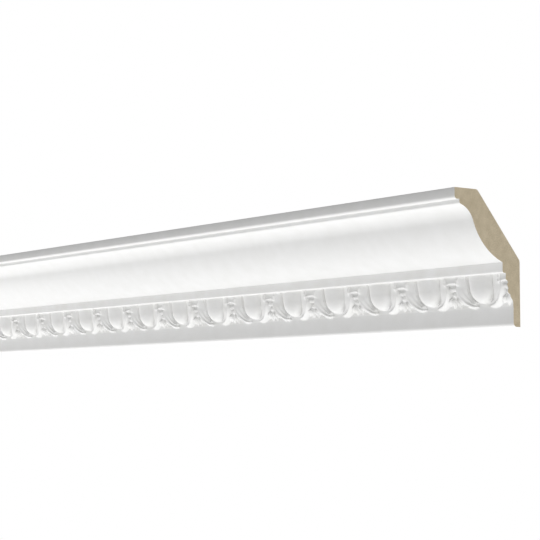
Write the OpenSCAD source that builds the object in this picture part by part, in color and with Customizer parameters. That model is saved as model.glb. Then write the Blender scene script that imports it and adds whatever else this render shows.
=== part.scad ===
// Cornice moulding length: an egg-and-dart crown moulding with a diagonal back.
// X runs along the moulding, +Y points into the wall, +Z is up, in millimetres.
// The origin is in the middle of the flat face that lies against the wall.

/* [Run of the moulding] */
// Length of one repeat of the ornament, from dart to dart
repeat_length = 80; // [66:1:110]
// Number of repeats in the length, cut square through a dart at both ends
repeat_count = 14; // [4:1:25]

/* [Overall section] */
// Height, from the bottom edge to the ceiling face
height = 137; // [114:1:170]
// Projection of the top edge from the wall
projection = 90; // [78:1:110]
// Width of the flat face against the ceiling
ceiling_width = 31; // [20:1:40]
// Height at which the diagonal back leaves the wall
back_height = 68; // [50:1:80]
// Rounding of the two corners of the diagonal back
back_round = 5; // [2:0.5:8]

/* [Members of the section] */
// Height of the top fascia
top_fascia_height = 11.6; // [8:0.1:14]
// Set-back of the quirk under the top fascia
quirk_set_back = 6.5; // [4:0.5:8]
// Height from the top fascia down to the start of the cyma
quirk_height = 5.4; // [4:0.1:7]
// Width of the small soffit between the quirk and the cyma
quirk_soffit = 3.5; // [3:0.5:5]
// Radius of the hollow upper curve of the cyma
hollow_radius = 24.4; // [18:0.2:30]
// Slope of the cyma at its two ends, in degrees below level
cyma_end_slope = 19; // [12:1:24]
// Projection of the middle fascia from the wall
middle_projection = 24.4; // [20:0.1:30]
// Height of the middle fascia
middle_fascia_height = 10.8; // [8:0.1:14]
// Projection of the bottom fascia from the wall
bottom_projection = 9.5; // [8:0.1:12]
// Height of the plain bottom fascia
bottom_fascia_height = 25; // [18:0.5:32]
// Rounding of the small fascia edges
edge_round = 2.5; // [1:0.1:3]
// Rounding of the edge at the front of the bottom face
bottom_round = 4; // [1:0.5:6]

/* [Ornament band] */
// Height of the band that carries the eggs
band_height = 29.4; // [24:0.1:36]
// Projection of the band's ground at its top
band_top_projection = 15.5; // [13:0.1:18]
// Width of an egg where it meets the ground
egg_width = 36; // [30:0.5:44]
// How far an egg stands out of the ground
egg_relief = 6.3; // [5:0.1:7.5]
// Height of the lowest point of an egg above the foot of the band
egg_foot = 0.5; // [0:0.1:1.5]
// Gap between an egg and the shell around it
egg_gap = 2.2; // [1.5:0.1:3]
// Width of the shell on each side of an egg
shell_width = 13; // [10:0.5:16]
// How far the crest of a shell stands out of the ground
shell_relief = 4.6; // [3:0.1:6]
// How far the tips of shells and leaves hang below the band
tip_drop = 2.6; // [1.5:0.1:4]
// Width of the rolled lip at the head of a dart
lip_width = 14; // [10:0.5:18]
// Radius of the rolled lip
lip_radius = 2.6; // [2:0.1:3.5]
// Distance from the top of the band down to the rolled lip
lip_drop = 6.8; // [5:0.1:8]
// Distance from the lip down to the smaller roll under it
roll_drop = 6.4; // [5:0.1:7]
// Radius of the round boss at the waist of a dart
boss_radius = 3.6; // [3:0.1:4.5]
// Radius of the leaf that fans out at the foot of a dart
leaf_radius = 15.6; // [12:0.1:18]
// How far the leaf stands out of the ground
leaf_relief = 3.2; // [2:0.1:5]
// Lobes of the leaf
leaf_lobes = 4; // [2:1:6]

/* [Hidden] */
$fn = 96;

// Turns a direction into one of length 1
function unit(v) = v / norm(v);

// Angle between the two sides that leave corner p towards a and b
function corner_angle(p, a, b) = acos(unit(a - p) * unit(b - p));

// Distance from corner p at which a rounding of radius r meets its sides
function round_start(p, a, b, r) = r / tan(corner_angle(p, a, b) / 2);

// Length of the piece
piece_length = repeat_length * repeat_count;

// Corners of the section, as [out of the wall, up], out of the wall being negative
wall_foot = [0, 0];
wall_top = [0, back_height];
ceiling_back = [-(projection - ceiling_width), height];
ceiling_front = [-projection, height];
top_fascia_foot = [-projection, height - top_fascia_height];
quirk_top = [-(projection - quirk_set_back), top_fascia_foot.y];
cyma_top = [quirk_top.x + quirk_soffit, quirk_top.y - quirk_height];
quirk_foot = [quirk_top.x, cyma_top.y + quirk_soffit * tan(cyma_end_slope)];
band_foot = [-bottom_projection, bottom_fascia_height];
band_top = [-band_top_projection, bottom_fascia_height + band_height];
middle_foot = [-middle_projection, band_top.y];
middle_top = [-middle_projection, band_top.y + middle_fascia_height];
bottom_front = [-bottom_projection, 0];

// The cyma is a hollow circle and a round one that touch each other.
// slope_normal points from the lower end of the cyma to the centre of the round curve.
slope_normal = [sin(cyma_end_slope), cos(cyma_end_slope)];
hollow_centre = cyma_top - hollow_radius * slope_normal;
centre_offset = hollow_centre - middle_top;
round_radius = (centre_offset * centre_offset - hollow_radius * hollow_radius)
    / (2 * (hollow_radius + centre_offset * slope_normal));
round_centre = middle_top + round_radius * slope_normal;
cyma_middle = hollow_centre + hollow_radius * unit(round_centre - hollow_centre);

// Middle of the flat wall face, where the origin lies
wall_face_height = back_height - round_start(wall_top, wall_foot, ceiling_back, back_round);
origin_up = wall_face_height / 2;

// Slope of the band's ground, and its length measured along the slope
band_tilt = atan((band_top_projection - bottom_projection) / band_height);
band_slant = norm(band_top - band_foot);

// How deep the ornament is rooted in the ground behind it
root = 1;

// How far a cutting shape reaches past what it cuts
spare = 2;

// An egg is a ball below a cylinder, so deep in the ground that egg_width shows
egg_half = egg_width / 2;
egg_radius = (egg_half * egg_half + egg_relief * egg_relief) / (2 * egg_relief);
egg_up = egg_half + egg_foot;
egg_straight = band_slant - egg_up + spare;

// The shells turn round this centre, below their straight upper parts
shell_outer = egg_half + egg_gap + shell_width;
shell_turn = egg_up + tip_drop;
shell_centre = [shell_outer - shell_turn, egg_up];

// A shell's section beside the egg is this thick, and its edge towards the dart slopes this far
shell_floor = 2.4;
shell_slope = 1.4;

// The rib, the flute and the crest of a shell, as shares of its width and of its relief
shell_lines = [[0.3, 0.62], [0.42, 0.5], [0.72, 1]];
shell_edge_share = 0.8;

// Heights of the parts of a dart above the foot of the band
lip_up = band_slant - lip_drop;
roll_up = lip_up - roll_drop;
leaf_up = leaf_radius - tip_drop;
boss_drop = 1;

// The smaller roll is this much shorter and thinner than the lip
roll_shorter = 3;
roll_thinner = 0.4;

// How far the bodies of the lip and of the smaller roll stand off the ground
lip_lift = 2.2;
roll_lift = 1.4;

// What has to be cut away to round corner p, whose sides run towards a and b
module corner_waste(p, a, b, r) {
    half = corner_angle(p, a, b) / 2;
    reach = round_start(p, a, b, r);
    difference() {
        polygon([p, p + reach * unit(a - p), p + reach * unit(b - p)]);
        translate(p + unit(unit(a - p) + unit(b - p)) * r / sin(half)) circle(r);
    }
}

// The part of a circle between its chord from a to b and the arc over it
module arc_segment(centre, r, a, b) {
    chord_middle = (a + b) / 2;
    over = chord_middle + unit(chord_middle - centre) * norm(b - a) / 2;
    intersection() {
        translate(centre) circle(r, $fn = 360);
        polygon([a, over, b]);
    }
}

// Section of the moulding, with the plain ground of the ornament band
module section() {
    difference() {
        union() {
            polygon([
                wall_foot, wall_top, ceiling_back, ceiling_front, top_fascia_foot, quirk_top,
                quirk_foot, cyma_top, cyma_middle, middle_top, middle_foot, band_top, band_foot,
                bottom_front
            ]);
            arc_segment(round_centre, round_radius, cyma_middle, middle_top);
        }
        arc_segment(hollow_centre, hollow_radius, cyma_top, cyma_middle);
        corner_waste(wall_top, wall_foot, ceiling_back, back_round);
        corner_waste(ceiling_back, wall_top, ceiling_front, back_round);
        corner_waste(top_fascia_foot, ceiling_front, quirk_top, edge_round);
        corner_waste(quirk_foot, quirk_top, cyma_top, edge_round);
        corner_waste(middle_foot, middle_top, band_top, edge_round);
        corner_waste(bottom_front, band_foot, wall_foot, bottom_round);
    }
}

// The plain moulding, from end to end
module run() {
    rotate([90, 0, 90])
        linear_extrude(height = piece_length, center = true)
            translate([0, -origin_up]) section();
}

// Places ornament on the band at distance x along it.
// There X runs along the band, Y up its slope from its foot, and Z out of its ground.
module on_band(x) {
    translate([x, band_foot.x, band_foot.y - origin_up])
        rotate([90 + band_tilt, 0, 0]) children();
}

// Egg, cut off by the fascia above it
module egg() {
    intersection() {
        translate([0, egg_up, egg_relief - egg_radius]) {
            sphere(egg_radius);
            rotate([-90, 0, 0]) cylinder(h = egg_straight, r = egg_radius);
        }
        translate([-egg_width, -tip_drop, -root])
            cube([2 * egg_width, band_slant + tip_drop + spare, egg_relief + spare]);
    }
}

// Section of a shell, from its turning centre out to its edge towards the dart
module shell_section() {
    inner = shell_turn - shell_width;
    polygon([
        [0, -root],
        [0, shell_floor],
        [inner, shell_floor],
        for (line = shell_lines) [inner + shell_width * line.x, shell_relief * line.y],
        [shell_turn - shell_slope, shell_relief * shell_edge_share],
        [shell_turn, -root]
    ]);
}

// Shell on the right of an egg: a straight upper part and a turn that ends in a tip
module shell() {
    clearing = shell_relief + root + 2 * spare;
    difference() {
        translate([shell_centre.x, shell_centre.y, 0]) {
            rotate([0, 0, 180]) rotate_extrude(angle = 180) shell_section();
            rotate([90, 0, 0]) translate([0, 0, -egg_straight])
                linear_extrude(height = egg_straight) shell_section();
        }
        translate([0, egg_up, -root - spare]) {
            cylinder(h = clearing, r = egg_half + egg_gap);
            translate([-egg_half - egg_gap, 0, 0])
                cube([egg_width + 2 * egg_gap, band_slant, clearing]);
        }
    }
}

// Rolled lip across a dart: a rod with ball ends, lying along the band
module roll(width, radius, up, proud) {
    translate([0, up, proud - radius]) {
        rotate([0, 90, 0]) cylinder(h = width - 2 * radius, r = radius, center = true);
        for (side = [-1, 1]) translate([side * (width / 2 - radius), 0, 0]) sphere(radius);
    }
}

// The leaf is lower at its upper end and its rim, and lower again between two lobes
leaf_end_share = 0.45;
leaf_furrow_share = 0.6;
leaf_notch_share = 0.84;
leaf_swell = 150;

// Angle that a lobe takes up, and how finely the leaf is divided
lobe_spread = 28;
lobe_steps = 6;
leaf_rings = 4;

// Height of the leaf above the ground at angle a and at a share s of its radius
function leaf_height(a, s) = leaf_relief
    * (leaf_end_share + (1 - leaf_end_share) * sin(leaf_swell * s))
    * (leaf_furrow_share + (1 - leaf_furrow_share) * lobe(a));

// 1 along the middle of a lobe, 0 between two lobes, for an angle a from 0 to 1 across the leaf
function lobe(a) = abs(sin(180 * leaf_lobes * a));

// Leaf at the foot of a dart: a fan of lobes, on rings of points round its upper end.
// The first ring is joined to one point at the upper end, above and below.
module leaf() {
    spread = lobe_spread * leaf_lobes;
    across = lobe_steps * leaf_lobes;
    rings = leaf_rings;
    row = across + 1;
    function at(i, j, z) = let (
        turn = spread * (i / across - 0.5),
        r = leaf_radius * j / rings * (leaf_notch_share + (1 - leaf_notch_share) * lobe(i / across))
    ) [r * sin(turn), leaf_up - r * cos(turn), z];
    top = [for (j = [1:rings], i = [0:across]) at(i, j, leaf_height(i / across, j / rings))];
    foot = [for (i = [0:across]) at(i, rings, -root)];
    ends = [[0, leaf_up, leaf_height(0.5 / leaf_lobes, 0)], [0, leaf_up, -root]];
    outer = (rings - 1) * row;
    below = len(top);
    top_end = below + row;
    foot_end = top_end + 1;
    faces = concat(
        [for (i = [0:across - 1]) [top_end, i + 1, i]],
        [for (j = [0:rings - 2], i = [0:across - 1]) let (a = j * row + i) [a, a + 1, a + row + 1]],
        [for (j = [0:rings - 2], i = [0:across - 1]) let (a = j * row + i) [a, a + row + 1, a + row]],
        [for (i = [0:across - 1]) [outer + i, outer + i + 1, below + i + 1]],
        [for (i = [0:across - 1]) [outer + i, below + i + 1, below + i]],
        [for (i = [0:across - 1]) [foot_end, below + i, below + i + 1]],
        [for (j = [0:rings - 2]) [foot_end, j * row, (j + 1) * row]],
        [for (j = [0:rings - 2]) [foot_end, (j + 1) * row + across, j * row + across]],
        [[foot_end, top_end, 0], [foot_end, across, top_end]],
        [[foot_end, outer, below], [foot_end, below + across, outer + across]]
    );
    polyhedron(points = concat(top, foot, ends), faces = faces);
}

// Dart between two eggs: the lip, a smaller roll, a boss at the waist and the leaf
module dart() {
    roll(lip_width, lip_radius, lip_up, lip_radius + lip_lift);
    roll(lip_width - roll_shorter, lip_radius - roll_thinner, roll_up, lip_radius + roll_lift);
    translate([0, leaf_up - boss_drop, 0]) sphere(boss_radius);
    leaf();
}

// The carved band: an egg with its shells in every repeat, and a dart on every division.
// The first and the last dart are cut through by the ends of the piece.
module ornament() {
    for (i = [0:repeat_count - 1]) {
        on_band((i + 0.5) * repeat_length - piece_length / 2) {
            egg();
            shell();
            mirror([1, 0, 0]) shell();
        }
    }
    for (i = [1:repeat_count - 1]) on_band(i * repeat_length - piece_length / 2) dart();
    for (side = [-1, 1]) {
        intersection() {
            on_band(side * piece_length / 2) dart();
            translate([side * (piece_length / 2 - repeat_length / 2), 0, 0])
                cube([repeat_length, 2 * projection, 2 * height], center = true);
        }
    }
}

module cornice_length() {
    color("whitesmoke") {
        run();
        ornament();
    }
}

cornice_length();
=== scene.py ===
# %% [markdown]
# # A length of egg-and-dart cornice
# A cornice hides the corner where a wall meets a ceiling. This one is moulded in rigid foam and primed white.
# Eggs in husks, with leafy darts between them, run along its lower part.
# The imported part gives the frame: X runs along the moulding, -Y looks into the room and Z is up.

# %% Load the frame
import math

import bpy
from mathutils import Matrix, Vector


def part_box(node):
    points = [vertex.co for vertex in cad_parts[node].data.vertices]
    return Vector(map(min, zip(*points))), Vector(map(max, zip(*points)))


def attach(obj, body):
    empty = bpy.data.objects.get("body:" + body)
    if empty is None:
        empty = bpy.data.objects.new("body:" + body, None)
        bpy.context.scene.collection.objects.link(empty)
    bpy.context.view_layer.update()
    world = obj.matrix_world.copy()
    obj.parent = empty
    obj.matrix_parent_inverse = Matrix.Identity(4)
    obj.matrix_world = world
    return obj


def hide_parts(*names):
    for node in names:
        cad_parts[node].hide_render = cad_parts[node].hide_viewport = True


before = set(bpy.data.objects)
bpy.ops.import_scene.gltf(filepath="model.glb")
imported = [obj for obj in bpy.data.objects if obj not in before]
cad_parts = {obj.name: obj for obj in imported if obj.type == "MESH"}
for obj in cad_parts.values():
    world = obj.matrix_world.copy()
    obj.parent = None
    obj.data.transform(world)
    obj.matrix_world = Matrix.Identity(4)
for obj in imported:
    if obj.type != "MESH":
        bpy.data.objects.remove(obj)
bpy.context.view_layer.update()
MM = 0.001
low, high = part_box("cornice_length")
length = high.x - low.x
height = high.z - low.z
projection = high.y - low.y
print(f"length {length:.3f}, height {height:.3f}, projection {projection:.3f} m")

# %% [markdown]
# ## The camera
# A long moulding is shown best from beyond one end, a little below, as someone in the room would see it.
# A long lens keeps the far end from shrinking too fast. The place is measured from the near lower back
# corner, so that the camera stays with that end whatever the length.

# %% Place the camera
near_corner = Vector((high.x, 0, low.z))
camera_data = bpy.data.cameras.new("room_camera")
camera_data.sensor_width = 36
camera_data.lens = 110.67
camera_data.clip_end = 100
camera = bpy.data.objects.new("room_camera", camera_data)
camera.location = near_corner + Vector((1.2004, -1.2203, -0.0778))
camera.rotation_euler = (math.radians(94.6), 0, math.radians(53.11))
bpy.context.collection.objects.link(camera)
bpy.context.scene.camera = camera
print("camera at", tuple(round(c, 3) for c in camera.location))

# %% [markdown]
# ## The section of the moulding
# A plasterer cuts the section out of sheet metal and drags it along. Its corners are named first, as
# (Y, Z) places, and all the drawing comes after. The back has a flat face for the wall, another for the
# ceiling, and a diagonal between them that spans the corner of the room.

# %% Name the corners of the back
def corner(out, up):
    """A place in the section, out from the wall and up from the bottom edge."""
    return Vector((-out, low.z + up))


back_round = 5 * MM
wall_foot = corner(0, 0)
wall_top = corner(0, 68 * MM)
ceiling_back = corner(projection - 31 * MM, height)
ceiling_front = corner(projection, height)
print("the diagonal of the back is", round((ceiling_back - wall_top).length / MM, 1), "mm long")

# %% [markdown]
# The front steps down from the ceiling: a top fascia, a narrow quirk that throws a dark line, the cyma,
# a second fascia, the recess for the carved band, and a plain fascia at the foot. A size that the
# carving needs again has a name of its own, in millimetres.

# %% Name the corners of the front
foot_out = 9.5
middle_out = 24.4
band_low = 20
band_high = 54.4
quirk_depth = 3.5 * MM
cyma_slope = math.radians(19)
top_fascia_foot = corner(projection, height - 11.6 * MM)
quirk_top = top_fascia_foot + Vector((6.5 * MM, 0))
cyma_top = quirk_top + Vector((quirk_depth, -5.4 * MM))
quirk_foot = Vector((quirk_top.x, cyma_top.y + quirk_depth * math.tan(cyma_slope)))
middle_top = corner(middle_out * MM, 65.2 * MM)
middle_foot = corner(middle_out * MM, band_high * MM)
band_bottom = corner(foot_out * MM, band_low * MM)
bottom_front = corner(foot_out * MM, 0)
print("the second fascia is", round((middle_top.y - middle_foot.y) / MM, 1), "mm high")

# %% [markdown]
# The cyma is the big S-shaped curve that throws the moulding forward. Here it is two arcs that touch:
# a hollow one above, whose radius is chosen, and a round one below, whose radius follows from that.
# Choosing one radius and working out the other keeps the join smooth whatever the corners do.

# %% Work out the two arcs of the cyma
hollow_radius = 24.4 * MM
slope_normal = Vector((math.sin(cyma_slope), math.cos(cyma_slope)))
hollow_centre = cyma_top - hollow_radius * slope_normal
offset = hollow_centre - middle_top
round_radius = (offset.dot(offset) - hollow_radius ** 2) / (2 * (hollow_radius + offset.dot(slope_normal)))
round_centre = middle_top + round_radius * slope_normal
cyma_middle = hollow_centre + hollow_radius * (round_centre - hollow_centre).normalized()
print(f"cyma radii {hollow_radius / MM:.1f} and {round_radius / MM:.1f} mm")

# %% [markdown]
# ## Walking round the section
# The outline is drawn as by hand, from one vertex that is led round it. It starts at the soffit over the
# carved band, just behind the rounded lower edge of the second fascia. Blender has no primitive for a
# lone vertex, so a small plane is shrunk to a point.

# %% Put the first vertex down
pen = Vector((0, 0))
middle_round = 2 * MM


def start_at(place):
    """Puts the first vertex down, by shrinking a small plane to a point."""
    bpy.ops.object.select_all(action="DESELECT")
    bpy.ops.mesh.primitive_plane_add(size=MM, location=(low.x, place.x, place.y))
    bpy.ops.object.mode_set(mode="EDIT")
    bpy.ops.mesh.select_all(action="SELECT")
    bpy.ops.mesh.merge(type="CENTER")
    pen.xy = place


start_at(middle_foot + Vector((middle_round, 0)))
print("the outline starts", round(-pen.x / MM, 1), "mm out from the wall")

# %% [markdown]
# Extruding a vertex draws a straight stretch, and spinning it round a centre draws an arc. These two
# moves draw the second fascia and the whole cyma. The steps of an arc are short enough to look smooth.

# %% Draw the second fascia and the cyma
def line_to(place):
    """Draws a straight stretch."""
    step = place - pen
    bpy.ops.mesh.extrude_vertices_move(TRANSFORM_OT_translate={"value": (0, step.x, step.y)})
    pen.xy = place


def arc_to(place, centre, steps):
    """Draws an arc round a centre, the short way. A spin about +X turns from Z towards Y."""
    here = pen - centre
    there = place - centre
    turn = math.atan2(here.y * there.x - here.x * there.y, here.dot(there))
    bpy.ops.mesh.spin(steps=steps, angle=turn, center=(low.x, centre.x, centre.y), axis=(1, 0, 0))
    pen.xy = place


middle_round_centre = middle_foot + Vector((middle_round, middle_round))
arc_to(middle_foot + Vector((0, middle_round)), middle_round_centre, steps=6)
line_to(middle_top)
arc_to(cyma_middle, round_centre, steps=24)
arc_to(cyma_top, hollow_centre, steps=20)
print("the cyma ends", round((pen.y - low.z) / MM, 1), "mm up")

# %% [markdown]
# Moulded foam has no knife edges, so nearly every other corner is rounded as the outline passes it. The
# walk goes over the ceiling face, down the back and round the foot. It stops there, because the plain
# face between the foot and the band is flat and is filled at the end.

# %% Draw the rest of the outline
def round_corner(place, after, radius, steps=6):
    """Draws a straight stretch and the rounding of its corner, towards the corner after it."""
    back = (pen - place).normalized()
    ahead = (after - place).normalized()
    half = back.angle(ahead) / 2
    reach = radius / math.tan(half)
    centre = place + (back + ahead).normalized() * radius / math.sin(half)
    line_to(place + reach * back)
    arc_to(place + reach * ahead, centre, steps)


round_corner(quirk_foot, quirk_top, 2 * MM)
line_to(quirk_top)
round_corner(top_fascia_foot, ceiling_front, 3 * MM)
round_corner(ceiling_front, ceiling_back, 0.6 * MM, steps=3)
round_corner(ceiling_back, wall_top, back_round)
round_corner(wall_top, wall_foot, back_round)
line_to(wall_foot)
round_corner(bottom_front, band_bottom, 4 * MM)
print("the outline stops", round((pen.y - low.z) / MM, 1), "mm up")

# %% [markdown]
# Pulling the outline along X is what a foam mould or a plasterer's template does. It gives the plain run
# in one move. The band, the plain face under it and both ends are still open.

# %% Pull the outline to its length
bpy.ops.mesh.select_all(action="SELECT")
bpy.ops.mesh.extrude_region_move(TRANSFORM_OT_translate={"value": (length, 0, 0)})
bpy.ops.object.mode_set(mode="OBJECT")
moulding = bpy.context.object
moulding.name = "moulding"
print("strips of the plain run:", len(moulding.data.polygons))

# %% [markdown]
# ## The relief of one repeat
# Foam is cast in a mould that lifts off straight, so nothing in the carving undercuts, and one skin
# can carry all of it. Its height is worked out from the shapes of the carving: an egg, a husk beside
# it that ends in a point, and a dart of curled leaf. Each is a small function of the distance along
# from the middle of the egg and of the height above the bottom edge, both in millimetres here.

# %% Soft steps and the ground of the band
head_out = 15.5
slant_low = 25
repeat_count = 14
repeat = length / repeat_count / MM


def ramp(value, start, end):
    """Rises smoothly from 0 at start to 1 at end."""
    share = min(max((value - start) / (end - start), 0), 1)
    return share * share * (3 - 2 * share)


def bump(value, middle, reach):
    """1 at the middle, falling smoothly to 0 at the reach on each side."""
    return 1 - ramp(abs(value - middle), 0, reach)


def blend_up(first, second, soft=0.5):
    """The higher of two heights, with the corner between them softened."""
    mix = min(max(0.5 + 0.5 * (first - second) / soft, 0), 1)
    return second + (first - second) * mix + soft * mix * (1 - mix)


def ground(up):
    """How far the ground of the band stands out from the wall, upright first and then leaning out."""
    share = min(max((up - slant_low) / (band_high - slant_low), 0), 1)
    return foot_out + (head_out - foot_out) * share


print("repeat of", round(repeat, 2), "mm, ground from", ground(band_low), "to", ground(band_high), "mm out")

# %% [markdown]
# Each egg is the lower part of an ovoid, cut off flat by the fascia above. Across, it follows a
# full, nearly elliptical curve. Its front swells quickly from the point and then runs almost straight up.

# %% The egg
egg_half = 17.7
egg_up = 43
egg_point = 9.8
egg_front = 21
egg_widens = 0.05
egg_leans = 0.06


def egg(along, up):
    """An egg whose round end points down, standing out of the ground."""
    above = max(up - egg_up, 0)
    drop = max(egg_up - up, 0) / egg_half
    if drop >= 1:
        return 0
    narrow = math.sqrt(1 - drop * drop)
    side = along / (egg_half * narrow + egg_widens * above)
    if side >= 1:
        return 0
    front = egg_point + (egg_front - egg_point) * narrow ** 0.75 + egg_leans * above
    return (front - ground(up)) * (1 - side ** 2.5) ** 0.5


print("the egg stands out", round(egg(0, egg_up), 1), "mm at its widest")

# %% [markdown]
# The husk is the split shell that holds the egg. Beside the egg it runs straight up, and below it turns
# round a pivot a little off the egg's middle, so that it narrows on the way down. A narrow groove parts
# it from the egg. It is placed by distance and angle, as a carver would swing it with a compass. Its rim
# closes in on the egg with the angle, and tucks in a little at the top as well.

# %% Where the husk lies
pivot_along = 4
rim_reach = 28.4
rim_tucks_in = 2.2
rim_closes = 7
groove_gap = 1.2


def husk_place(along, up):
    """How far a place is from the pivot, at which angle, and where the groove and the rim are there."""
    if up > egg_up:
        out = along - pivot_along
        angle = 0
        rim = rim_reach - rim_tucks_in * ramp(up, egg_up, 50)
        egg_edge = egg_half - pivot_along + egg_widens * (up - egg_up)
    else:
        out = math.hypot(along - pivot_along, up - egg_up)
        angle = math.degrees(math.atan2(egg_up - up, along - pivot_along))
        rim = rim_reach - rim_closes * ramp(angle, 5, 80)
        lean = pivot_along * math.cos(math.radians(angle))
        egg_edge = -lean + math.sqrt(lean * lean + egg_half ** 2 - pivot_along ** 2)
    return out, angle, egg_edge + groove_gap, rim


_, low_angle, groove_out, rim_out = husk_place(28, 30)
print(f"at {low_angle:.0f} degrees the husk is {rim_out - groove_out:.1f} mm wide")

# %% [markdown]
# The face of the husk is a shallow dish with a rib and a flute, and past the rim it falls away to the
# ground. It gets lower on its way round, and ends first at the groove and last at the rim, so that the
# rim runs out into a point. One section serves the whole way round, lower and flatter towards its end.

# %% The husk
husk_end = 77
point_swing = 6
crest_front = 20.8
crest_leans = 0.08
crest_sinks = 5.6
point_sinks = 1.4
groove_wall = 0.6
rib_rise = 0.9
flute_depth = 0.6


def husk(along, up):
    """A husk beside the egg: a ribbed dish that rises to a rim and ends in a point."""
    out, angle, groove, rim = husk_place(along, up)
    if angle > 90 or out < groove - groove_wall:
        return 0
    share = max(out - groove, 0) / (rim - groove)
    crest = crest_front + crest_leans * max(up - egg_up, 0) - crest_sinks * ramp(angle, 5, 55) - ground(up)
    crest -= point_sinks * ramp(angle, 50, husk_end)
    inner = (0.62 + 0.15 * ramp(angle, 30, 70)) * crest
    end = husk_end - point_swing + point_swing * bump(share, 1, 0.5)
    ending = 1 - ramp(angle, end - 5, end)
    if out <= rim:
        dish = inner + (crest - inner) * share ** 1.7
        ribs = rib_rise * bump(share, 0.5, 0.18) - flute_depth * bump(share, 0.8, 0.12)
        return (dish + ribs * ramp(angle, 0, 28)) * ramp(out, groove - groove_wall, groove + 1) * ending
    shoulder = 4.2 - 2.2 * ramp(up, 40, 46)
    fall = min((out - rim) / shoulder, 1)
    return crest * (1 - fall ** 1.8) * ending


print("the husk's rim stands out", round(husk(31, 46), 1), "mm beside the egg")

# %% [markdown]
# Between two husks hangs a leaf. Its fan has two pairs of lobes that curl at their tips. A lobe is a
# blade round a straight middle line: its width and its height both change on the way to the tip. The
# table holds, for each lobe, its root and its tip, as distance off the middle and height, and its width.

# %% The lobes of the leaf
petals = (((1.4, 35), (4.9, 21.9), 2.6), ((2.8, 34.5), (12.6, 24.4), 2.9))
lobe_rise = 2.8
lobe_swells = 2.7
tip_sinks = 3


def petal(off, up, root, tip, width):
    """One lobe of the leaf: a rounded blade that widens from its root and ends in a curled point."""
    run = tip[0] - root[0]
    drop = root[1] - tip[1]
    reach = math.hypot(run, drop)
    along = ((off - root[0]) * run + (root[1] - up) * drop) / reach ** 2
    across = abs((off - root[0]) * drop - (root[1] - up) * run) / reach
    if not 0 < along < 1:
        return 0
    half = width * (0.5 + 0.5 * ramp(along, 0, 0.6)) * (1 - max(along / 0.4 - 1.5, 0) ** 1.6)
    if across >= half:
        return 0
    rise = lobe_rise + lobe_swells * ramp(along, 0, 0.45) - tip_sinks * ramp(along, 0.5, 1.05)
    return rise * (1 - (across / half) ** 2.2) ** 0.55


print("lobe tips at", [tip for root, tip, width in petals])

# %% [markdown]
# The lobes lie on a low web, and above the boss the leaf swells again towards its head. Both are read
# along the middle of the dart first, because a single line is easy to set against the egg's front.

# %% The web and the swelling
swell_front = 18.2
neck_rise = 4.5
web_rise = 2.8


def web(up):
    """The low web between the lobes."""
    return web_rise * ramp(up, 25, 31)


def middle_line(up):
    """How far the middle of the dart stands out of the ground."""
    if up > 44:
        return swell_front - ground(up)
    if up > 38:
        return neck_rise + 0.7 * ramp(up, 38, 44)
    return web(up)


print("the swelling stands out", round(middle_line(46), 1), "mm, the web", web(31), "mm")

# %% [markdown]
# Between the fan and the swelling the leaf is pinched to a round boss, with a small hole on each side
# just above it. The swelling is hollowed by a shallow pocket with a toothed edge.
# Each of these is one term that is added, taken away or blended, so any of them can be tuned alone.

# %% The dart
boss_up = 35.2
boss_half = 3.7
boss_rise = 5.5
pocket_depth = 1.1
tooth = 0.5
hole_depth = 1.5


def dart(off, up):
    """A curled leaf: a swelling with its pocket, a boss and the fan, for a place off its middle."""
    spread = 3 * ramp(up, 43, 50)
    body = middle_line(up) * (1 - ramp(off, 5 + spread, 8.5 + spread))
    body *= ramp(up, 37.8 + 0.14 * off, 40 + 0.14 * off) if up < 44 else 1
    body = max(body, web(up) * (1 - ramp(off, 6, 12)))
    edge = 42.4 + tooth * math.cos(off * 1.9)
    pocket = pocket_depth * (1 - ramp(off, 5.8, 7.2)) * ramp(up, edge, edge + 1.4) * (1 - ramp(up, 46, 46.8))
    boss_reach = 5.5 if up > boss_up else 2.5
    roundness = 1 - (off / boss_half) ** 2 - ((up - boss_up) / boss_reach) ** 2
    hole = hole_depth * bump(math.hypot(off - 4.2, up - 38.4), 0, 1.6)
    raised = blend_up(body - pocket, boss_rise * math.sqrt(max(roundness, 0)))
    for root, tip, width in petals:
        raised = blend_up(raised, petal(off, up, root, tip, width))
    return max(raised - hole, 0)


print("the boss stands out", round(dart(0, boss_up), 1), "mm")

# %% [markdown]
# At the head the leaf curls forward in a rolled lip that lies over the rims of both husks. It droops a
# little to the sides, and falls back slightly above its roll. With it the pieces of a repeat are put
# together: the higher of two always shows, and the head stops short of the soffit's front edge, so
# that the soffit can close flat over it.

# %% The lip and the whole relief
lip_rise = 2.2
lip_droop = 0.02
lip_rolls_back = 0.2
head_gap = 0.7
head_front = middle_out - middle_round / MM - head_gap


def lip(off, up):
    """The lip across the head of the dart and the rims beside it."""
    level = up + lip_droop * off * off
    roll = ramp(level, 46.3, 48.5) * (1 - lip_rolls_back * ramp(level, 49, 50.2))
    return lip_rise * (1 - ramp(off, 9.3, 11.5)) * roll


def relief(along, up):
    """Height of the carving out of the ground, held behind the front of the soffit at its top."""
    off = repeat / 2 - along
    raised = blend_up(husk(along, up), dart(off, up), 0.6) + lip(off, up)
    raised = min(raised, head_front + 3 * (1 - ramp(up, 49.5, 52)) - ground(up))
    return blend_up(egg(along, up), raised, 0.3) * ramp(up, band_low, band_low + 1)


print("the lip stands", round(relief(repeat / 2, 48.5) + ground(48.5), 1), "mm out from the wall")

# %% [markdown]
# One repeat is a finely divided grid, from the middle of one dart to the middle of the next. Each of its
# vertices is set to the height of the carving there. The columns crowd together towards the darts, where
# the carving is finest. Only one repeat is worked out, because all of them come from the same mould.

# %% Model one repeat
columns = 108
rows = 62
crowding = 0.35

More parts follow.
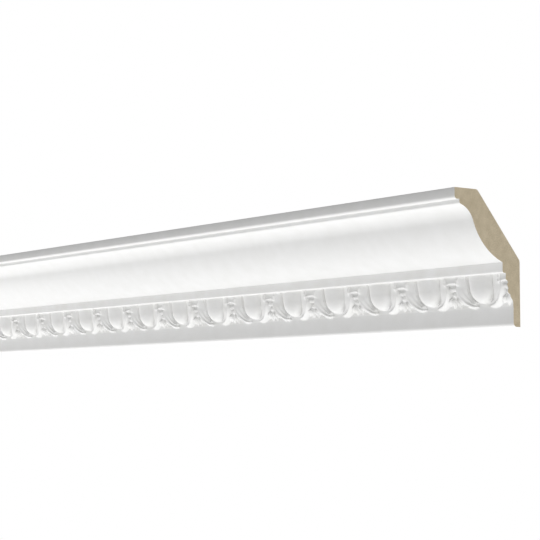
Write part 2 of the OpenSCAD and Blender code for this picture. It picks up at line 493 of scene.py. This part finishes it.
bpy.ops.object.select_all(action="DESELECT")
bpy.ops.mesh.primitive_grid_add(x_subdivisions=columns, y_subdivisions=rows, size=2, location=(0, 0, 0))
tile = bpy.context.object
tile.name = "ornament_repeat"
for vertex in tile.data.vertices:
    side = vertex.co.x
    rise = (vertex.co.y + 1) / 2
    along = repeat / 2 * ((1 + crowding) * abs(side) - crowding * side * side)
    up = band_low + (band_high - band_low) * rise
    out = ground(up) + relief(along, up)
    vertex.co = (math.copysign(along, side) * MM, -out * MM, low.z + up * MM)
tile.data.update()
print("faces in one repeat:", len(tile.data.polygons))

# %% [markdown]
# The repeat is copied end to end. Two neighbours share their border exactly, so they will weld.
# The first and last copies end in the middle of a dart, which is where the length is cut square.

# %% Copy the repeat along the run
pieces = []
for place in range(repeat_count):
    bpy.ops.object.select_all(action="DESELECT")
    tile.select_set(True)
    bpy.context.view_layer.objects.active = tile
    bpy.ops.object.duplicate(linked=False)
    copy = bpy.context.object
    copy.location.x = low.x + (place + 0.5) * repeat * MM
    bpy.ops.object.transform_apply(location=True, rotation=False, scale=False)
    pieces.append(copy)
bpy.data.objects.remove(tile)
print("copies:", len(pieces))

# %% [markdown]
# The carving and the plain run are one casting, so they become one mesh. Vertices that lie on each other
# are merged, which closes the seams between the copies.

# %% Join everything
bpy.ops.object.select_all(action="DESELECT")
for copy in pieces:
    copy.select_set(True)
moulding.select_set(True)
bpy.context.view_layer.objects.active = moulding
bpy.ops.object.join()
bpy.ops.object.transform_apply(location=True, rotation=True, scale=True)
bpy.ops.object.mode_set(mode="EDIT")
bpy.ops.mesh.select_all(action="SELECT")
bpy.ops.mesh.remove_doubles(threshold=0.005 * MM)
bpy.ops.object.mode_set(mode="OBJECT")
print("faces in all:", len(moulding.data.polygons))

# %% [markdown]
# Four flat gaps are left open: the soffit over the band, the plain face under it, and the two cut ends.
# The open edges round each gap are picked by where they lie, and one face is filled between them.

# %% Close the four flat gaps
near = 0.02 * MM


def close_gap(name, wanted):
    """Selects the open edges whose two ends are both wanted, and fills the face that they go round."""
    bpy.ops.object.mode_set(mode="EDIT")
    bpy.ops.mesh.select_mode(type="EDGE")
    bpy.ops.mesh.select_all(action="DESELECT")
    bpy.ops.mesh.select_non_manifold(extend=False)
    bpy.ops.object.mode_set(mode="OBJECT")
    vertices = moulding.data.vertices
    open_edges = [edge for edge in moulding.data.edges if edge.select]
    for edge in open_edges:
        edge.select = all(wanted(vertices[v].co) for v in edge.vertices)
    print(f"{name}: {sum(edge.select for edge in open_edges)} edges")
    bpy.ops.object.mode_set(mode="EDIT")
    bpy.ops.mesh.edge_face_add()
    bpy.ops.object.mode_set(mode="OBJECT")


close_gap("soffit", lambda c: abs(c.z - middle_foot.y) < near)
close_gap("foot", lambda c: abs(c.y - bottom_front.x) < near and c.z < band_bottom.y + near)
close_gap("far end", lambda c: abs(c.x - low.x) < near)
close_gap("near end", lambda c: abs(c.x - high.x) < near)

# %% [markdown]
# A closed skin lets light and slicers tell inside from outside. The normals are turned outward, and the
# open edges are counted, which should give none. Edges sharper than the limit stay crisp.

# %% Turn the skin outward and smooth it
crisp_angle = math.radians(50)
bpy.ops.object.mode_set(mode="EDIT")
bpy.ops.mesh.select_all(action="SELECT")
bpy.ops.mesh.normals_make_consistent(inside=False)
bpy.ops.mesh.select_all(action="DESELECT")
bpy.ops.mesh.select_non_manifold(extend=False)
bpy.ops.object.mode_set(mode="OBJECT")
print("open edges left:", sum(e.select for e in moulding.data.edges))
bpy.ops.object.shade_smooth_by_angle(angle=crisp_angle)

# %% [markdown]
# ## Finishes
# The face is primed white, and sprayed primer isn't quite even. A noise in the object's own space gives it
# a faint mottle that stays on the surface from every side. Tone and sheen will both read this one noise.

# %% The primer and its mottle
def new_material(name, roughness):
    """A material with its shader, ready for a colour and a bump."""
    material = bpy.data.materials.new(name)
    material.use_nodes = True
    tree = material.node_tree
    shader = tree.nodes["Principled BSDF"]
    shader.inputs["Roughness"].default_value = roughness
    return material, tree.nodes, tree.links, shader


def add_noise(nodes, links, scale, detail):
    """Noise in the object's own space, so that it stays on the surface."""
    place = nodes.new("ShaderNodeTexCoord")
    noise = nodes.new("ShaderNodeTexNoise")
    noise.inputs["Scale"].default_value = scale
    noise.inputs["Detail"].default_value = detail
    links.new(place.outputs["Object"], noise.inputs["Vector"])
    return noise.outputs["Fac"]


primer, nodes, links, shader = new_material("white_primer", 0.55)
mottle = add_noise(nodes, links, 55, 4)
print("started", primer.name)

# %% [markdown]
# Two pale ramps turn the same mottle into white, a greyer one for the plain members and a brighter one
# for the carved band and the second fascia. The brighter one is painted light, standing in for the stronger
# light there.

# %% Two whites
def add_ramp(nodes, links, value, stops):
    """Turns a value into a colour along a row of (place, colour) stops."""
    ramp_node = nodes.new("ShaderNodeValToRGB")
    for element, (place, colour) in zip(ramp_node.color_ramp.elements, stops):
        element.position = place
        element.color = (*colour, 1)
    links.new(value, ramp_node.inputs["Fac"])
    return ramp_node.outputs["Color"]


# The band white is painted light: a brighter white that stands in for the stronger light on the carving and
# the second fascia.
plain_stops = [(0.3, (0.79, 0.79, 0.78)), (0.7, (0.825, 0.825, 0.82))]
lit_band_stops = [(0.3, (0.88, 0.878, 0.86)), (0.7, (0.925, 0.925, 0.92))]
plain_white = add_ramp(nodes, links, mottle, plain_stops)
painted_light_white = add_ramp(nodes, links, mottle, lit_band_stops)
print("brightest plain white", plain_stops[-1][1], "and on the band", lit_band_stops[-1][1])

# %% [markdown]
# Which of the two whites shows depends on the height alone: the brighter one, painted light, begins at the
# foot of the carving and ends at the top of the second fascia. The change is soft, so the painted light has
# no sharp edge.

# %% Mix the whites by height
def add_band(nodes, links, start, end, soft):
    """1 between two heights in the object's own space, and 0 outside them, with soft edges."""
    place = nodes.new("ShaderNodeTexCoord")
    split = nodes.new("ShaderNodeSeparateXYZ")
    links.new(place.outputs["Object"], split.inputs["Vector"])
    both = nodes.new("ShaderNodeMath")
    both.operation = "MULTIPLY"
    for index, (level, below, above) in enumerate(((start, 0, 1), (end, 1, 0))):
        step = nodes.new("ShaderNodeMapRange")
        step.interpolation_type = "SMOOTHSTEP"
        step.inputs["From Min"].default_value = level - soft
        step.inputs["From Max"].default_value = level + soft
        step.inputs["To Min"].default_value = below
        step.inputs["To Max"].default_value = above
        links.new(split.outputs["Z"], step.inputs["Value"])
        links.new(step.outputs["Result"], both.inputs[index])
    return both.outputs[0]


def mix_colours(nodes, links, first, second, blend, share=None):
    """Mixes two colours by a share, or in full where none is given."""
    mix = nodes.new("ShaderNodeMix")
    mix.data_type = "RGBA"
    mix.blend_type = blend
    mix.inputs["Factor"].default_value = 1
    links.new(first, mix.inputs[6])
    links.new(second, mix.inputs[7])
    if share is not None:
        links.new(share, mix.inputs["Factor"])
    return mix.outputs[2]


# This height mask is where the painted light goes: the carved band and the second fascia above it.
painted_light_band = add_band(nodes, links, low.z + 21 * MM, low.z + 64.8 * MM, 0.8 * MM)
white = mix_colours(nodes, links, plain_white, painted_light_white, "MIX", painted_light_band)
links.new(white, shader.inputs["Base Color"])
print("primer nodes so far:", len(nodes))

# %% [markdown]
# Sprayed primer dries to a fine orange peel, which is far too small to model, so it is a bump. The sheen
# follows the mottle, so that smoother places are also a touch shinier.

# %% Orange peel and sheen
def add_bump(nodes, links, shader, height_value, depth, strength):
    """Makes a height into a slight unevenness of the surface, its depth in metres."""
    node = nodes.new("ShaderNodeBump")
    node.inputs["Distance"].default_value = depth
    node.inputs["Strength"].default_value = strength
    links.new(height_value, node.inputs["Height"])
    links.new(node.outputs["Normal"], shader.inputs["Normal"])


orange_peel = add_noise(nodes, links, 900, 2)
add_bump(nodes, links, shader, orange_peel, 0.06 * MM, 0.6)
sheen = nodes.new("ShaderNodeMapRange")
links.new(mottle, sheen.inputs["Value"])
sheen.inputs["To Min"].default_value = 0.48
sheen.inputs["To Max"].default_value = 0.64
links.new(sheen.outputs["Result"], shader.inputs["Roughness"])
print("primer nodes:", len(nodes))

# %% [markdown]
# Rigid foam is a mass of tiny bubbles. The saw opens them, so the cut end is speckled and quite matt,
# with broader cloudy patches. Against the mould the bubbles close up to a denser, yellower skin.

# %% Bare foam
cloud_stops = [(0.3, (0.86, 0.85, 0.82)), (0.7, (1, 1, 1))]


def foam_material(name, dark, light):
    """Cut or unpainted foam: fine open cells, with broader pale and dark patches."""
    material, nodes, links, shader = new_material(name, 0.9)
    cells = add_noise(nodes, links, 1100, 3)
    patches = add_noise(nodes, links, 130, 4)
    grain = add_ramp(nodes, links, cells, [(0.3, dark), (0.65, light)])
    clouds = add_ramp(nodes, links, patches, cloud_stops)
    colour = mix_colours(nodes, links, grain, clouds, "MULTIPLY")
    links.new(colour, shader.inputs["Base Color"])
    add_bump(nodes, links, shader, cells, 0.3 * MM, 0.8)
    return material


foam = foam_material("bare_foam", (0.49, 0.42, 0.29), (0.70, 0.60, 0.44))
foam_skin = foam_material("foam_skin", (0.50, 0.42, 0.24), (0.68, 0.575, 0.36))
print("foam finishes:", foam.name, foam_skin.name)

# %% [markdown]
# Faces are painted by where they lie: both cut ends are raw foam, the back and the ceiling face are skin,
# and all the rest is primed. Then the moulding is handed over in place of the plain CAD piece.

# %% Put the finishes on
moulding.data.materials.clear()
for finish in (primer, foam, foam_skin):
    moulding.data.materials.append(finish)
for face in moulding.data.polygons:
    at_end = abs(abs(face.center.x) - high.x) < near
    behind = face.normal.y > 0.3 or (face.normal.z > 0.9 and face.center.z > wall_top.y)
    face.material_index = 1 if at_end else 2 if behind else 0
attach(moulding, "root")
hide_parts("cornice_length")
print("primed faces:", sum(face.material_index == 0 for face in moulding.data.polygons))

# %% [markdown]
# ## Floor and light
# A pale floor lies well below the moulding, as a room's floor does, and glows softly up at it. That
# makes the undersides the brightest parts and leaves the fascias grey, which models the section well.

# %% Floor
bpy.ops.object.select_all(action="DESELECT")
bpy.ops.mesh.primitive_plane_add(size=30, location=(0, 0, -2.4))
floor = bpy.context.object
floor.name = "floor"
floor_finish, nodes, links, shader = new_material("floor_white", 0.9)
shader.inputs["Base Color"].default_value = (0.85, 0.85, 0.85, 1)
shader.inputs["Emission Color"].default_value = (1, 1, 1, 1)
shader.inputs["Emission Strength"].default_value = 0.4
floor.data.materials.append(floor_finish)
print("floor at", round(floor.location.z, 2), "m")

# %% [markdown]
# The main lamp is a broad sheet of light just over the floor, so it casts no hard shadow. A weaker lamp
# beyond each end picks out the sides of the carving, and one above and behind shows the back and the
# ceiling face.

# %% Lamps
def soft_light(name, place, target, size, power):
    """A soft light at a place, turned to a target. Cameras don't see the lamp itself."""
    data = bpy.data.lights.new(name, "AREA")
    data.shape = "RECTANGLE"
    data.size, data.size_y = size
    data.energy = power
    lamp = bpy.data.objects.new(name, data)
    lamp.location = place
    lamp.rotation_euler = (Vector(target) - Vector(place)).to_track_quat("-Z", "Y").to_euler()
    lamp.visible_camera = False
    bpy.context.collection.objects.link(lamp)


soft_light("light_table", (0, 0, -2.3), (0, 0, 0), (7, 7), 112)
soft_light("from_the_far_end", (-2.4, -0.6, -0.7), (0, -0.04, 0.03), (0.8, 0.8), 12)
soft_light("from_the_near_end", (3.2, -0.1, -0.5), (0.4, -0.04, 0.03), (0.9, 0.9), 13.5)
soft_light("from_above_and_behind", (0, 2, 2), (0, 0, 0.05), (2.5, 1), 55)

# %% [markdown]
# The surroundings give a little even light. The camera sees them as plain white, as a paper backdrop.
# The Standard view keeps whites as they are, instead of rolling them off as film would.

# %% Surroundings
world = bpy.data.worlds.new("studio")
bpy.context.scene.world = world
world.use_nodes = True
tree = world.node_tree
surroundings = tree.nodes["Background"]
surroundings.inputs["Color"].default_value = (1, 1, 1, 1)
surroundings.inputs["Strength"].default_value = 0.27
backdrop = tree.nodes.new("ShaderNodeBackground")
backdrop.inputs["Color"].default_value = (1, 1, 1, 1)
ray = tree.nodes.new("ShaderNodeLightPath")
choice = tree.nodes.new("ShaderNodeMixShader")
tree.links.new(ray.outputs["Is Camera Ray"], choice.inputs[0])
tree.links.new(surroundings.outputs[0], choice.inputs[1])
tree.links.new(backdrop.outputs[0], choice.inputs[2])
tree.links.new(choice.outputs[0], tree.nodes["World Output"].inputs["Surface"])
bpy.context.scene.view_settings.view_transform = "Standard"
print("surroundings at", round(surroundings.inputs["Strength"].default_value, 2))
